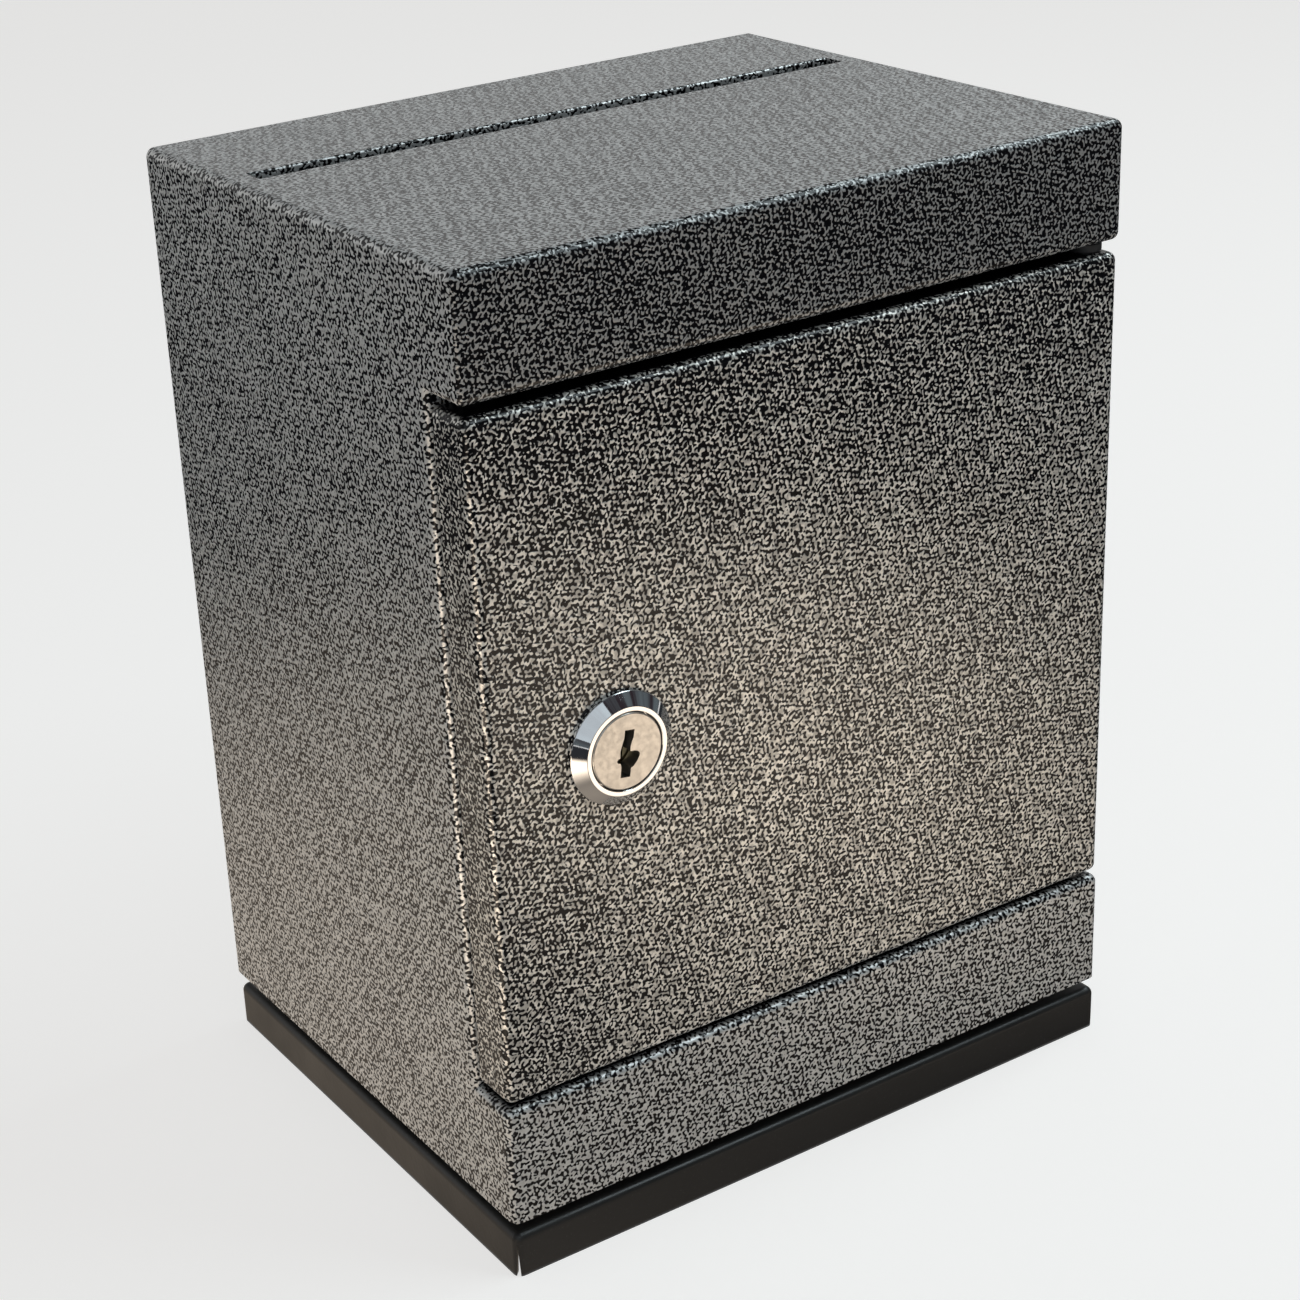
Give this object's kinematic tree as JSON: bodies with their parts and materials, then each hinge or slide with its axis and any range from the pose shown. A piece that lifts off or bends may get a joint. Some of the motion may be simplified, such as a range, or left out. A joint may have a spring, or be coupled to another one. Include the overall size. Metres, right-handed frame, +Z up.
{
  "type": "coin bank safe",
  "caption": "Small steel money safe with a vein-painted cabinet, a pin-hung door with a wafer cam lock, a narrow full-width slot in the top and a black plinth.",
  "frame": {"origin": "middle of the underside: the centre of the bounding box, at the height of the surface that it stands on", "axes": "+X to the right of a person facing the door, +Y to the back, +Z up"},
  "size_m": [0.134, 0.1074, 0.18],
  "materials": {
    "vein_paint": "silver vein powder coat: a raised silver-grey network over black, satin to semi-gloss",
    "black_paint": "smooth satin black paint",
    "chrome": "bright chrome plate",
    "nickel": "satin nickel, lightly grained",
    "zinc": "bright zinc plate",
    "brass": "stamped brass",
    "spring_steel": "oiled spring steel",
    "black_nylon": "moulded black nylon"
  },
  "bodies": {
    "cabinet": {"body_shell": "vein_paint", "floor_pan": "vein_paint", "back_panel": "vein_paint", "plinth": "black_paint", "plinth_spacer_1": "black_nylon", "plinth_screw_1": "zinc", "plinth_nut_1": "zinc", "plinth_spacer_2": "black_nylon", "plinth_screw_2": "zinc", "plinth_nut_2": "zinc", "plinth_spacer_3": "black_nylon", "plinth_screw_3": "zinc", "plinth_nut_3": "zinc", "plinth_spacer_4": "black_nylon", "plinth_screw_4": "zinc", "plinth_nut_4": "zinc", "upper_hinge_pin": "zinc", "upper_hinge_washer": "black_nylon", "upper_pin_clip": "spring_steel", "lower_hinge_pin": "zinc", "lower_hinge_washer": "black_nylon", "lower_pin_clip": "spring_steel"},
    "door": {"door_pan": "vein_paint", "lock_housing": "chrome", "lock_tooth_washer": "zinc", "lock_nut": "zinc"},
    "lock_cylinder": {"lock_plug": "nickel", "lock_wafer_1": "brass", "lock_wafer_2": "brass", "lock_wafer_3": "brass", "lock_wafer_4": "brass", "lock_wafer_5": "brass", "wafer_spring_1": "spring_steel", "wafer_spring_2": "spring_steel", "wafer_spring_3": "spring_steel", "wafer_spring_4": "spring_steel", "wafer_spring_5": "spring_steel", "cam_stop_washer": "zinc", "lock_cam": "zinc", "cam_spring_washer": "spring_steel", "cam_screw": "zinc"}
  },
  "joints": [
    {"name": "door_hinge", "type": "hinge", "parent": "cabinet", "child": "door", "pos_m": [0.0625, -0.0468, 0.0948], "axis": [0, 0, 1], "range_deg": [0, 180]},
    {"name": "lock_turn", "type": "hinge", "parent": "door", "child": "lock_cylinder", "pos_m": [-0.0412, -0.0513, 0.0948], "axis": [0, 1, 0], "range_deg": [0, 180]}
  ]
}
